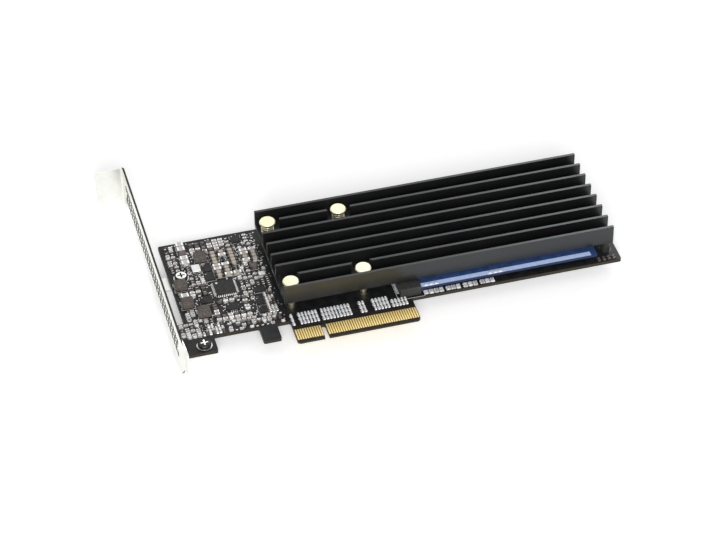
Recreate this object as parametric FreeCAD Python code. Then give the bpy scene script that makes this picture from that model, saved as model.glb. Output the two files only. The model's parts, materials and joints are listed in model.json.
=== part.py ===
import FreeCAD, Part
import math
import os

from FreeCAD import Vector

# Expansion card for an x8 slot that carries two M.2 modules under one long finned heatsink.
# Millimetres. The card lies on its back: +Z leaves the component side, +X runs from the bracket
# towards the far end and +Y towards the top edge. The origin is where the centre line of the key
# notch meets the bottom edge of the gold tongue, on the component side's surface.

# Circuit board
board_thickness = 1.57
key_to_board_left = 57.15
lower_edge_y = 13.2
board_rear_margin = 8.3
board_edge_margin = 0.7
outline_radius = 0.8
foot_width = 13.15
side_recess = 3.2
side_step_y = 23.5
foot_bottom_y = 4.3
hook_from_left = 31.85
hook_width = 7.5
tongue_left = 12.15
tongue_right = 39.15
tongue_corner = 1.0
tongue_bevel_height = 1.3
tongue_bevel_depth = 0.4
key_width = 1.91
key_depth = 7.8

# Gold contacts on both sides of the tongue
contact_pitch = 1.0
contact_width = 0.7
contact_length = 6.3
contact_thickness = 0.05
contacts_before_key = 11
contacts_after_key = 38
key_to_first_contact = 1.5

# M.2 modules, sockets and standoffs
module_length = 80.0
module_width = 22.0
module_thickness = 0.8
module_corner = 0.5
module_gap = 7.0
module_edge_width = 19.85
module_edge_depth = 4.0
module_key_offset = 6.1
module_key_width = 1.2
module_key_depth = 3.5
module_notch_radius = 1.75
module_chip_height = 1.2
socket_front_y = 14.65
socket_length = 8.7
socket_width = 21.9
socket_height = 4.2
socket_clearance = 0.12
tail_pitch = 0.5
tail_width = 0.22
tail_length = 1.0
tail_thickness = 0.15
tails_per_row = 33
standoff_height = 2.45
standoff_radius = 2.3
module_screw_radius = 1.0
module_screw_head_radius = 1.9
module_screw_head_height = 0.8
module_screw_depth = 1.8
module_pad_thickness = 0.5
module_pad_margin = 1.0

# Chips on a module: how far they sit off its centre line, and for the controller and the cache
# the distance of the centre from the socket, the length and the width
module_chip_y = 1.4
controller_place = (11.0, 11.0, 11.0)
cache_place = (22.5, 7.5, 11.0)
memory_size = (14.0, 12.0)
memory_from_socket = 29.5
memory_gap = 5.0
memory_to_module_end = 7.0

# Rows of small parts on a module: distances from the socket, and from the module's edge
module_row_starts = (1.6, 29.0)
module_row_inset = 1.1
module_row_count = 3

# Heatsink: one extrusion, fins along X, milled round the pins
sink_from_left = 44.15
sink_front_y = 18.5
sink_rear_margin = 4.0
sink_top_z = 13.3
sink_base_thickness = 2.0
sink_past_modules = 8.0
board_past_sink = 2.1
fin_count = 8
fin_thickness = 1.2
pedestal_size = 18.0

# Spring-loaded push pins round the switch chip
pin_from_sink_left = 3.95
pin_span_x = 30.4
pin_head_to_wall = 0.3
pin_to_sink_rear = 7.2
pin_pocket_radius = 5.0
pin_head_radius = 3.35
pin_head_height = 1.5
pin_head_below_fins = 0.5
pin_head_bevel = 0.4
pin_shank_radius = 1.5
pin_collar_radius = 2.15
pin_collar_height = 0.8
pin_hole_clearance = 0.3
pin_barb_overhang = 0.35
pin_barb_length = 2.4
pin_tip_radius = 0.9
pin_split_width = 0.6
spring_wire = 0.5
spring_radius = 2.5
spring_turns = 4
spring_steps = 14
spring_sides = 6

# Switch chip
switch_size = 21.0
switch_substrate_height = 1.1
switch_die_size = 12.0
switch_die_height = 0.8
switch_pad_thickness = 0.8

# Socket column, placed from the pins that stand nearest to it
pins_to_socket = 13.5

# Heatsink spacers and their screws at the far end
spacer_radius = 2.0
spacer_from_sink_end = 2.5
spacer_from_sink_sides = 2.4
sink_screw_radius = 1.2
sink_screw_head_radius = 2.2
sink_screw_head_height = 1.3
sink_screw_bite = 1.4

# Bracket: one folded steel sheet
bracket_thickness = 0.86
bracket_width = 18.42
bracket_front_z = 14.42
bracket_top_y = 112.72
bracket_bottom_y = -7.3
bracket_to_board = 2.3
bracket_bend_radius = 0.7
tab_length = 11.43
tab_width = 21.59
tab_notch_width = 4.42
tab_notch_depth = 5.1
tab_notch_from_plate = 6.35
slot_tongue_width = 10.19
slot_tongue_height = 4.1
slot_tongue_offset = 1.2
slot_tongue_shoulder = 2.4
vent_across_flats = 2.9
vent_pitch = 3.7
vent_columns = 3
vent_first_y = 5.0
vent_last_y = 105.0
ear_length = 13.0
ear_height = 8.0
ear_joggle = 1.2
ear_hole_from_left = 8.35
ear_ys = (8.6, 51.6)
ear_end_rounding = 1.5
ear_screw_radius = 1.45
ear_screw_head_radius = 2.8
ear_screw_head_height = 1.7
screw_clearance = 0.15
recess_width = 0.7
recess_depth = 0.5
recess_reach = 0.55
head_rounding = 0.5

# Chip parts: length, width and height of a body with its two end caps
small_chip = (1.6, 0.8, 0.6)
medium_chip = (2.0, 1.25, 0.9)
large_chip = (3.2, 1.6, 1.2)
bulk_chip = (3.2, 2.5, 1.6)
chip_gap_x = 0.55
chip_gap_y = 0.5
keepout_clearance = 0.3

# Packages in the power field: length along X, length along Y, height
inductor_size = (5.2, 5.0, 2.8)
stage_size = (4.0, 4.4, 0.9)
controller_size = (5.0, 4.0, 0.9)
micro_size = (8.4, 8.4, 1.1)
flash_size = (5.0, 3.9, 1.5)
clock_size = (4.6, 3.8, 0.9)
shifter_size = (3.6, 4.0, 0.9)
oscillator_size = (3.9, 5.0, 1.3)
crystal_size = (3.2, 2.5, 0.8)
sot_size = (2.9, 1.5, 1.0)
led_size = (1.6, 0.9, 0.55)
lead_length = 1.0
lead_thickness = 0.15
lead_width = 0.3
lead_pitch = 0.8
micro_leads_per_side = 10
flash_leads_per_side = 4

# Places of the packages: from the board's left edge, and Y
inductor_places = ((6.85, 45.8), (7.2, 34.3), (12.55, 27.0), (18.55, 61.1))
stage_places = ((19.75, 54.3), (19.75, 48.7))
controller_chip_place = (15.25, 34.8)
micro_place = (24.15, 40.4)
flash_place = (24.55, 27.4)
clock_place = (37.75, 35.7)
shifter_places = ((36.25, 28.3), (36.25, 23.0))
oscillator_place = (15.35, 54.8)
crystal_place = (40.95, 45.0)
regulator_places = ((27.55, 58.0), (30.35, 51.7), (10.55, 18.9))

# Places that keep their distance from the board's top edge instead
top_stage_place = (35.55, 4.5)
led_from_left = 39.55
led_from_top = 2.3
led_spacing = 2.0
led_count = 3

# Zones filled with rows of chips: from the board's left edge low and high, Y low and high
bulk_zones = ((10.35, 13.75, 58.2, 73.2), (5.55, 9.15, 37.8, 43.2), (37.15, 41.55, 48.7, 53.0))
large_zones = ((22.35, 36.75, 47.4, 63.8), (35.15, 43.15, 54.1, 62.8))
medium_zones = ((15.35, 32.35, 64.8, 72.9), (16.55, 31.55, 20.9, 33.4), (9.55, 18.15, 38.2, 45.2))
row_zone = (23.55, 44.15, 15.9, 18.1)
turned_zones = ((38.55, 43.25, 21.0, 35.4), (9.35, 19.55, 14.2, 21.4))
free_spot_every = 6

# Coupling capacitors above the contacts, and the small ones under the modules' front edge;
# the groups start at these distances from the tongue's left end
coupling_above_contacts = 2.7
coupling_starts = (0.6, 3.8, 13.3, 29.3, 34.9, 42.5)
coupling_column_counts = (1, 6, 9, 2, 5, 5)
coupling_row_counts = (3, 3, 3, 3, 3, 2)
coupling_pitch_x = 1.4
coupling_pitch_y = 2.45
front_rows_from_socket = (1.4, 10.8, 18.1, 25.4)
front_row_lengths = (8.4, 6.3, 6.3, 6.3)
front_row_depth = 3.2

# Derived places
board_left = -key_to_board_left
side_left = board_left + side_recess
sink_left = board_left + sink_from_left
pin_xs = (sink_left + pin_from_sink_left, sink_left + pin_from_sink_left + pin_span_x)
pin_front_y = sink_front_y + fin_thickness + pin_head_to_wall + pin_head_radius
module_front_y = socket_front_y + (socket_width - module_width) / 2
module_ys = (module_front_y, module_front_y + module_width + module_gap)
board_height = module_ys[1] + module_width + board_rear_margin
sink_rear_y = board_height - sink_rear_margin
pin_ys = (pin_front_y, sink_rear_y - pin_to_sink_rear)
switch_x = sum(pin_xs) / 2
switch_y = sum(pin_ys) / 2
socket_left = pin_xs[1] + pins_to_socket
socket_right = socket_left + socket_length
module_left = socket_right - module_edge_depth
module_right = module_left + module_length
sink_right = module_right + sink_past_modules
board_right = sink_right + board_past_sink
module_top_z = standoff_height + module_thickness
sink_base_z = module_top_z + module_chip_height + module_pad_thickness
sink_floor_z = sink_base_z + sink_base_thickness
switch_top_z = switch_substrate_height + switch_die_height
pedestal_z = switch_top_z + switch_pad_thickness
fin_pitch = (sink_rear_y - sink_front_y - fin_thickness) / (fin_count - 1)
pin_head_top_z = sink_top_z - pin_head_below_fins
plate_inner_x = board_left - bracket_to_board
plate_outer_x = plate_inner_x - bracket_thickness
bracket_rear_z = bracket_front_z - bracket_width
spacer_x = sink_right - spacer_from_sink_end
spacer_ys = (sink_front_y + spacer_from_sink_sides, sink_rear_y - spacer_from_sink_sides)
ear_hole_x = board_left + ear_hole_from_left

keepouts = []


def block(x0, x1, y0, y1, z0, z1):
    return Part.makeBox(x1 - x0, y1 - y0, z1 - z0, Vector(x0, y0, z0))


def centred_block(x, y, size, z0=0.0):
    length, width, height = size
    return block(x - length / 2, x + length / 2, y - width / 2, y + width / 2, z0, z0 + height)


def post(x, y, z0, z1, radius):
    return Part.makeCylinder(radius, z1 - z0, Vector(x, y, z0))


def taper(x, y, z0, z1, r0, r1):
    return Part.makeCone(r0, r1, z1 - z0, Vector(x, y, z0))


def plate(points, z0, z1):
    face = Part.Face(Part.makePolygon([Vector(x, y, z0) for x, y in points + points[:1]]))
    return face.extrude(Vector(0, 0, z1 - z0))


def fuse_all(shapes):
    return shapes[0].multiFuse(shapes[1:]).removeSplitter()


def cut_all(shape, tools):
    return shape.cut(Part.makeCompound(tools))


def group(shapes):
    return Part.makeCompound(shapes)


def upright_edges(shape, x_low, x_high, y_low, y_high):
    found = []
    for edge in shape.Edges:
        start, end = edge.Vertexes[0].Point, edge.Vertexes[-1].Point
        middle = (start + end) * 0.5
        upright = abs(start.x - end.x) + abs(start.y - end.y) < 1e-6
        if upright and x_low < middle.x < x_high and y_low < middle.y < y_high:
            found.append(edge)
    return found


def reserve(x0, x1, y0, y1):
    keepouts.append((x0, x1, y0, y1))


def is_free(x0, x1, y0, y1):
    for a0, a1, b0, b1 in keepouts:
        apart = x1 + keepout_clearance <= a0 or a1 + keepout_clearance <= x0
        apart = apart or y1 + keepout_clearance <= b0 or b1 + keepout_clearance <= y0
        if not apart:
            return False
    return True


def place(spot, size, turned=False):
    """One package on the component side, with its footprint kept free of small chips."""
    from_left, y = spot
    length, width, height = size
    if turned:
        length, width = width, length
    x = board_left + from_left
    reserve(x - length / 2, x + length / 2, y - width / 2, y + width / 2)
    return centred_block(x, y, (length, width, height))


def fill(zone, size, turned=False, free_every=0):
    """Rows of chips over a zone, given from the board's left edge, leaving out what is taken."""
    x_low, x_high, y_low, y_high = zone
    y_high = min(y_high, board_height - board_edge_margin)
    length, width, height = size
    if turned:
        length, width = width, length
    columns = int((x_high - x_low + chip_gap_x) / (length + chip_gap_x))
    rows = int((y_high - y_low + chip_gap_y) / (width + chip_gap_y))
    chips = []
    for column in range(columns):
        for row in range(rows):
            x0 = board_left + x_low + column * (length + chip_gap_x)
            y0 = y_low + row * (width + chip_gap_y)
            left_free = free_every and (column + 2 * row + row // 3) % free_every == 0
            if not left_free and is_free(x0, x0 + length, y0, y0 + width):
                reserve(x0, x0 + length, y0, y0 + width)
                chips.append(block(x0, x0 + length, y0, y0 + width, 0.0, height))
    return chips


def fill_zones(zones, size, turned=False):
    return [chip for zone in zones for chip in fill(zone, size, turned)]


def screw(x, y, seat_z, shank_radius, depth, head_radius, head_height, head_down=False):
    """Pan-head screw with a cross recess, seated at seat_z."""
    shank = post(x, y, -depth, 0.0, shank_radius)
    head = post(x, y, 0.0, head_height, head_radius)
    rim = [edge for edge in head.Edges if abs(edge.BoundBox.ZMin - head_height) < 1e-6]
    head = head.makeFillet(head_height * head_rounding, rim)
    reach = head_radius * recess_reach
    half = recess_width / 2
    floor = head_height - recess_depth
    cross = fuse_all([block(x - reach, x + reach, y - half, y + half, floor, head_height + 1),
                      block(x - half, x + half, y - reach, y + reach, floor, head_height + 1)])
    body = shank.fuse(head).cut(cross)
    if head_down:
        body.rotate(Vector(x, y, 0), Vector(1, 0, 0), 180)
    body.translate(Vector(0, 0, seat_z))
    return body


def make_board():
    left, foot_right = board_left, board_left + foot_width
    hook_left = board_left + hook_from_left
    hook_right = hook_left + hook_width
    corner = tongue_corner
    outline = [(left, foot_bottom_y), (foot_right, foot_bottom_y), (foot_right, lower_edge_y),
               (hook_left, lower_edge_y), (hook_left, foot_bottom_y),
               (hook_right, foot_bottom_y), (hook_right, lower_edge_y),
               (-tongue_left, lower_edge_y), (-tongue_left, corner), (-tongue_left + corner, 0.0),
               (tongue_right - corner, 0.0), (tongue_right, corner), (tongue_right, lower_edge_y),
               (board_right, lower_edge_y), (board_right, board_height), (side_left, board_height),
               (side_left, side_step_y), (left, side_step_y)]
    board = plate(outline, -board_thickness, 0.0)
    corners = upright_edges(board, left - 1, board_right + 1, lower_edge_y - 0.1, board_height + 1)
    corners += upright_edges(board, left - 1, hook_right + 1, foot_bottom_y - 0.1,
                             foot_bottom_y + 0.1)
    board = board.makeFillet(outline_radius, corners)
    key_round = key_depth - key_width / 2
    cuts = [block(-key_width / 2, key_width / 2, -1.0, key_round, -board_thickness - 1, 1.0),
            post(0.0, key_round, -board_thickness - 1, 1.0, key_width / 2)]
    for face_z, outward in ((0.0, 1), (-board_thickness, -1)):
        edge_z = face_z - outward * tongue_bevel_depth
        wedge = Part.Face(Part.makePolygon([
            Vector(-tongue_left - 1, -1.0, face_z + outward),
            Vector(-tongue_left - 1, tongue_bevel_height, face_z),
            Vector(-tongue_left - 1, 0.0, edge_z),
            Vector(-tongue_left - 1, -1.0, edge_z),
            Vector(-tongue_left - 1, -1.0, face_z + outward)]))
        cuts.append(wedge.extrude(Vector(tongue_left + tongue_right + 2, 0, 0)))
    for x in pin_xs:
        for y in pin_ys:
            cuts.append(post(x, y, -board_thickness - 1, 1.0, pin_shank_radius + pin_hole_clearance))
    for y in spacer_ys:
        cuts.append(post(spacer_x, y, -board_thickness - 1, 1.0, sink_screw_radius + screw_clearance))
    for y in ear_ys:
        cuts.append(post(ear_hole_x, y, -board_thickness - 1, 1.0, ear_screw_radius + screw_clearance))
    return cut_all(board, cuts)


def make_contacts(z0):
    offsets = [-key_to_first_contact - n * contact_pitch for n in range(contacts_before_key)]
    offsets = offsets[::-1] + [key_to_first_contact + n * contact_pitch
                               for n in range(contacts_after_key)]
    top = tongue_bevel_height + contact_length
    return group([block(x - contact_width / 2, x + contact_width / 2, tongue_bevel_height, top,
                        z0, z0 + contact_thickness) for x in offsets])


def make_heatsink():
    pieces = [block(sink_left, sink_right, sink_front_y, sink_rear_y, sink_base_z, sink_floor_z)]
    for n in range(fin_count):
        y0 = sink_front_y + n * fin_pitch
        pieces.append(block(sink_left, sink_right, y0, y0 + fin_thickness, sink_base_z, sink_top_z))
    half = pedestal_size / 2
    pieces.append(block(switch_x - half, switch_x + half, switch_y - half, switch_y + half,
                        pedestal_z, sink_floor_z))
    sink = fuse_all(pieces)
    inner = block(sink_left - 1, sink_right + 1, sink_front_y + fin_thickness,
                  sink_rear_y - fin_thickness, sink_floor_z, sink_top_z + 1)
    cuts = []
    for x in pin_xs:
        for y in pin_ys:
            cuts.append(post(x, y, sink_floor_z, sink_top_z + 1, pin_pocket_radius).common(inner))
            cuts.append(post(x, y, sink_base_z - 1, sink_floor_z + 1,
                             pin_shank_radius + pin_hole_clearance))
    for y in spacer_ys:
        cuts.append(post(spacer_x, y, sink_base_z - 1, sink_base_z + sink_screw_bite,
                         sink_screw_radius + screw_clearance))
    return cut_all(sink, cuts)


def make_push_pins():
    pins = []
    barb_radius = pin_shank_radius + pin_hole_clearance + pin_barb_overhang
    back_z = -board_thickness
    tip_z = back_z - pin_barb_length
    collar_z = pin_head_top_z - pin_head_height - pin_collar_height
    for x in pin_xs:
        for y in pin_ys:
            head = post(x, y, pin_head_top_z - pin_head_height, pin_head_top_z, pin_head_radius)
            rims = [edge for edge in head.Edges if isinstance(edge.Curve, Part.Circle)]
            head = head.makeChamfer(pin_head_bevel, rims)
            collar = post(x, y, collar_z, pin_head_top_z - pin_head_height, pin_collar_radius)
            shank = post(x, y, back_z, collar_z, pin_shank_radius)
            barb = taper(x, y, tip_z, back_z, pin_tip_radius, barb_radius)
            pin = fuse_all([head, collar, shank, barb])
            split = block(x - pin_split_width / 2, x + pin_split_width / 2, y - 3 * barb_radius,
                          y + 3 * barb_radius, tip_z - 1, 0.0)
            pins.append(pin.cut(split))
    return group(pins)


def make_pin_springs():
    """Open coils that stand on the heatsink floor and reach up to the pin heads."""
    low = sink_floor_z + spring_wire / 2
    rise = pin_head_top_z - pin_head_height - spring_wire / 2 - low
    steps = spring_turns * spring_steps
    sections = []
    for step in range(steps + 1):
        turn = 2 * math.pi * step / spring_steps
        outward = Vector(math.cos(turn), math.sin(turn), 0)
        centre = outward * spring_radius + Vector(0, 0, low + rise * step / steps)
        corners = []
        for side in range(spring_sides + 1):
            angle = 2 * math.pi * side / spring_sides
            reach = outward * (spring_wire / 2 * math.cos(angle))
            corners.append(centre + reach + Vector(0, 0, spring_wire / 2 * math.sin(angle)))
        sections.append(Part.makePolygon(corners))
    coil = Part.makeLoft(sections, True, True)
    springs = []
    for x in pin_xs:
        for y in pin_ys:
            spring = coil.copy()
            spring.translate(Vector(x, y, 0))
            springs.append(spring)
    return group(springs)


def make_module_board(front_y):
    middle = front_y + module_width / 2
    left = socket_right
    body = block(left, module_right, front_y, front_y + module_width,
                 standoff_height, module_top_z)
    body = body.makeFillet(module_corner, upright_edges(body, module_right - 0.1,
                                                        module_right + 0.1, 0, board_height))
    edge = block(module_left, left, middle - module_edge_width / 2,
                 middle + module_edge_width / 2, standoff_height, module_top_z)
    key_y = middle + module_key_offset
    cuts = [block(module_left - 1, module_left + module_key_depth, key_y - module_key_width / 2,
                  key_y + module_key_width / 2, 0, sink_base_z),
            post(module_right, middle, 0, sink_base_z, module_notch_radius)]
    return cut_all(fuse_all([body, edge]), cuts)


def make_socket(front_y):
    middle = front_y + module_width / 2
    housing = block(socket_left, socket_right, middle - socket_width / 2,
                    middle + socket_width / 2, 0.0, socket_height)
    slot = block(module_left - socket_clearance, socket_right + 1,
                 middle - module_edge_width / 2 - socket_clearance,
                 middle + module_edge_width / 2 + socket_clearance,
                 standoff_height - socket_clearance, module_top_z + socket_clearance)
    key_y = middle + module_key_offset
    rib_half = module_key_width / 2 - socket_clearance
    rib = block(module_left - socket_clearance, module_left + module_key_depth - socket_clearance,
                key_y - rib_half, key_y + rib_half, 0, socket_height)
    return housing.cut(slot.cut(rib))


def make_socket_tails():
    """Solder tails of both sockets, half of each row on either side of the housing."""
    tails = []
    for front_y in module_ys:
        first = front_y + module_width / 2 - (tails_per_row - 1) * tail_pitch / 2
        for n in range(tails_per_row):
            y = first + n * tail_pitch
            tails.append(block(socket_left - tail_length, socket_left, y - tail_width / 2,
                               y + tail_width / 2, 0.0, tail_thickness))
            tails.append(block(socket_right, socket_right + tail_length, y - tail_width / 2,
                               y + tail_width / 2, 0.0, tail_thickness))
    return group(tails)


def memory_places():
    """As many memory chips as fit between the cache and the module's screw."""
    length, width = memory_size
    free = module_right - memory_to_module_end - socket_right - memory_from_socket
    count = max(1, int((free + memory_gap) / (length + memory_gap)))
    return [(memory_from_socket + length / 2 + n * (length + memory_gap), length, width)
            for n in range(count)]


def module_chip(front_y, chip_place):
    distance, length, width = chip_place
    middle = front_y + module_width / 2 + module_chip_y
    return centred_block(socket_right + distance, middle,
                         (length, width, module_chip_height), module_top_z)


def make_module_pad(front_y):
    distance, length, width = controller_place
    last = memory_places()[-1]
    middle = front_y + module_width / 2 + module_chip_y
    half = last[2] / 2
    return block(socket_right + distance - length / 2 - module_pad_margin,
                 socket_right + last[0] + last[1] / 2 + module_pad_margin,
                 middle - half, middle + half,
                 module_top_z + module_chip_height, sink_base_z)


def make_module_passives():
    parts = []
    length = small_chip[0]
    for front_y in module_ys:
        for start in module_row_starts:
            for n in range(module_row_count):
                x = socket_right + start + n * (length + chip_gap_x)
                parts.append(centred_block(x + length / 2, front_y + module_row_inset, small_chip,
                                           module_top_z))
    return group(parts)


def make_standoffs():
    posts = []
    for front_y in module_ys:
        y = front_y + module_width / 2
        bore = post(module_right, y, standoff_height - module_screw_depth - screw_clearance,
                    standoff_height + 1, module_screw_radius + screw_clearance)
        posts.append(post(module_right, y, 0.0, standoff_height, standoff_radius).cut(bore))
    return group(posts)


def make_module_screws():
    return group([screw(module_right, front_y + module_width / 2, module_top_z,
                        module_screw_radius, module_thickness + module_screw_depth,
                        module_screw_head_radius, module_screw_head_height)
                  for front_y in module_ys])


def make_spacers():
    return group([post(spacer_x, y, 0.0, sink_base_z, spacer_radius)
                  .cut(post(spacer_x, y, -1, sink_base_z + 1, sink_screw_radius + screw_clearance))
                  for y in spacer_ys])


def make_sink_screws():
    depth = board_thickness + sink_base_z + sink_screw_bite - screw_clearance
    return group([screw(spacer_x, y, -board_thickness, sink_screw_radius, depth,
                        sink_screw_head_radius, sink_screw_head_height, True)
                  for y in spacer_ys])


def make_bracket():
    """Folded sheet: tab, plate with vents, offset tongue for the chassis slot and two ears."""
    t = bracket_thickness
    offset = slot_tongue_offset
    drop_y = bracket_bottom_y + slot_tongue_height + slot_tongue_shoulder
    side = [(plate_outer_x - tab_length, bracket_top_y), (plate_inner_x, bracket_top_y),
            (plate_inner_x, drop_y), (plate_inner_x + offset, drop_y - slot_tongue_shoulder),
            (plate_inner_x + offset, bracket_bottom_y),
            (plate_outer_x + offset, bracket_bottom_y),
            (plate_outer_x + offset, drop_y - slot_tongue_shoulder), (plate_outer_x, drop_y),
            (plate_outer_x, bracket_top_y - t), (plate_outer_x - tab_length, bracket_top_y - t)]
    sheet = plate(side, bracket_front_z - tab_width, bracket_front_z)
    outer_bend = upright_edges(sheet, plate_inner_x - 0.1, plate_inner_x + 0.1,
                               bracket_top_y - 0.1, bracket_top_y + 0.1)
    sheet = sheet.makeFillet(bracket_bend_radius + t, outer_bend)
    inner_bend = upright_edges(sheet, plate_outer_x - 0.1, plate_outer_x + 0.1,
                               bracket_top_y - t - 0.1, bracket_top_y - t + 0.1)
    sheet = sheet.makeFillet(bracket_bend_radius, inner_bend)
    middle_z = bracket_front_z - bracket_width / 2
    far_x = plate_inner_x + offset + 1
    bend_y = bracket_top_y - t - bracket_bend_radius
    low_z = bracket_front_z - tab_width
    cuts = [block(plate_outer_x - 0.01, far_x, bracket_bottom_y - 1, bend_y, low_z - 1,
                  bracket_rear_z)]
    cuts.append(block(plate_outer_x - bracket_bend_radius, far_x, bend_y - 0.01,
                      bracket_top_y + 1, low_z - 1, bracket_rear_z))
    half = slot_tongue_width / 2
    shoulder_y = bracket_bottom_y + slot_tongue_height
    for sign in (1, -1):
        edge_z = middle_z + sign * bracket_width / 2
        corner = Part.Face(Part.makePolygon([
            Vector(plate_outer_x - 1, bracket_bottom_y - 1, middle_z + sign * half),
            Vector(plate_outer_x - 1, shoulder_y, middle_z + sign * half),
            Vector(plate_outer_x - 1, drop_y, edge_z),
            Vector(plate_outer_x - 1, drop_y, edge_z + sign),
            Vector(plate_outer_x - 1, bracket_bottom_y - 1, edge_z + sign),
            Vector(plate_outer_x - 1, bracket_bottom_y - 1, middle_z + sign * half)]))
        cuts.append(corner.extrude(Vector(offset + t + 2, 0, 0)))
    notch_x = plate_outer_x - tab_notch_from_plate
    notch_end_z = low_z + tab_notch_depth - tab_notch_width / 2
    cuts.append(block(notch_x - tab_notch_width / 2, notch_x + tab_notch_width / 2,
                      bracket_top_y - t - 1, bracket_top_y + 1, low_z - 1, notch_end_z))
    cuts.append(Part.makeCylinder(tab_notch_width / 2, t + 2,
                                  Vector(notch_x, bracket_top_y - t - 1, notch_end_z),
                                  Vector(0, 1, 0)))
    cuts += make_vents(middle_z)
    return cut_all(sheet, cuts).fuse(fuse_all([make_ear(y) for y in ear_ys]))


def make_vents(middle_z):
    """Hexagonal holes through the plate in staggered columns."""
    column_pitch = vent_pitch * math.sqrt(3) / 2
    corner_radius = vent_across_flats / math.sqrt(3)
    vents = []
    for column in range(vent_columns):
        z = middle_z + (column - (vent_columns - 1) / 2) * column_pitch
        y = vent_first_y + (vent_pitch / 2 if column % 2 else 0.0)
        while y < vent_last_y:
            corners = [Vector(plate_outer_x - 1, y + corner_radius * math.sin(math.radians(a)),
                              z + corner_radius * math.cos(math.radians(a)))
                       for a in range(0, 361, 60)]
            vents.append(Part.Face(Part.makePolygon(corners))
                         .extrude(Vector(bracket_thickness + 2, 0, 0)))
            y += vent_pitch
    return vents


def make_ear(y):
    """Ear that leaves the plate's rear edge and steps up to the solder side of the board."""
    t = bracket_thickness
    seat_z = -board_thickness
    low_z = bracket_rear_z
    start = plate_inner_x + ear_joggle
    rise = ear_joggle
    end = board_left + ear_length
    ear = Part.Face(Part.makePolygon([
        Vector(plate_inner_x, y - ear_height / 2, low_z),
        Vector(start, y - ear_height / 2, low_z),
        Vector(start + rise, y - ear_height / 2, seat_z - t),
        Vector(end, y - ear_height / 2, seat_z - t),
        Vector(end, y - ear_height / 2, seat_z),
        Vector(start + rise - t / 2, y - ear_height / 2, seat_z),
        Vector(start - t / 2, y - ear_height / 2, low_z + t),
        Vector(plate_inner_x, y - ear_height / 2, low_z + t),
        Vector(plate_inner_x, y - ear_height / 2, low_z)])).extrude(Vector(0, ear_height, 0))
    corners = [edge for edge in ear.Edges if abs(edge.BoundBox.XMin - end) < 1e-6
               and edge.BoundBox.ZLength > t / 2]
    ear = ear.makeFillet(ear_end_rounding, corners)
    return ear.cut(post(ear_hole_x, y, low_z - 1, 1.0, ear_screw_radius + screw_clearance))


def make_ear_screws():
    depth = board_thickness + bracket_thickness
    return group([screw(ear_hole_x, y, 0.0, ear_screw_radius, depth, ear_screw_head_radius,
                        ear_screw_head_height) for y in ear_ys])


def leaded(body, along_x, count):
    """Gull-wing leads on two opposite sides of a package that is already placed."""
    box = body.BoundBox
    leads = []
    for n in range(count):
        shift = (n - (count - 1) / 2) * lead_pitch
        if along_x:
            x = (box.XMin + box.XMax) / 2 + shift
            sides = [(x - lead_width / 2, x + lead_width / 2, box.YMin - lead_length, box.YMin),
                     (x - lead_width / 2, x + lead_width / 2, box.YMax, box.YMax + lead_length)]
        else:
            y = (box.YMin + box.YMax) / 2 + shift
            sides = [(box.XMin - lead_length, box.XMin, y - lead_width / 2, y + lead_width / 2),
                     (box.XMax, box.XMax + lead_length, y - lead_width / 2, y + lead_width / 2)]
        for x0, x1, y0, y1 in sides:
            leads.append(block(x0, x1, y0, y1, 0.0, lead_thickness))
    reserve(box.XMin - lead_length, box.XMax + lead_length,
            box.YMin - lead_length, box.YMax + lead_length)
    return leads


def reserve_fixed_parts():
    """Footprints that the small chips stay clear of."""
    for y in ear_ys:
        reserve(ear_hole_x - ear_screw_head_radius, ear_hole_x + ear_screw_head_radius,
                y - ear_screw_head_radius, y + ear_screw_head_radius)
    reserve(board_left, side_left + board_edge_margin - keepout_clearance,
            side_step_y - board_edge_margin, board_height)
    reserve(socket_left - tail_length, board_right, module_front_y + front_row_depth, board_height)
    reserve(socket_left - tail_length, socket_right + tail_length, module_front_y, board_height)
    half = switch_size / 2
    reserve(switch_x - half, switch_x + half, switch_y - half, switch_y + half)
    for x in pin_xs:
        for y in pin_ys:
            reserve(x - pin_barb_length, x + pin_barb_length,
                    y - pin_barb_length, y + pin_barb_length)


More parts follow.
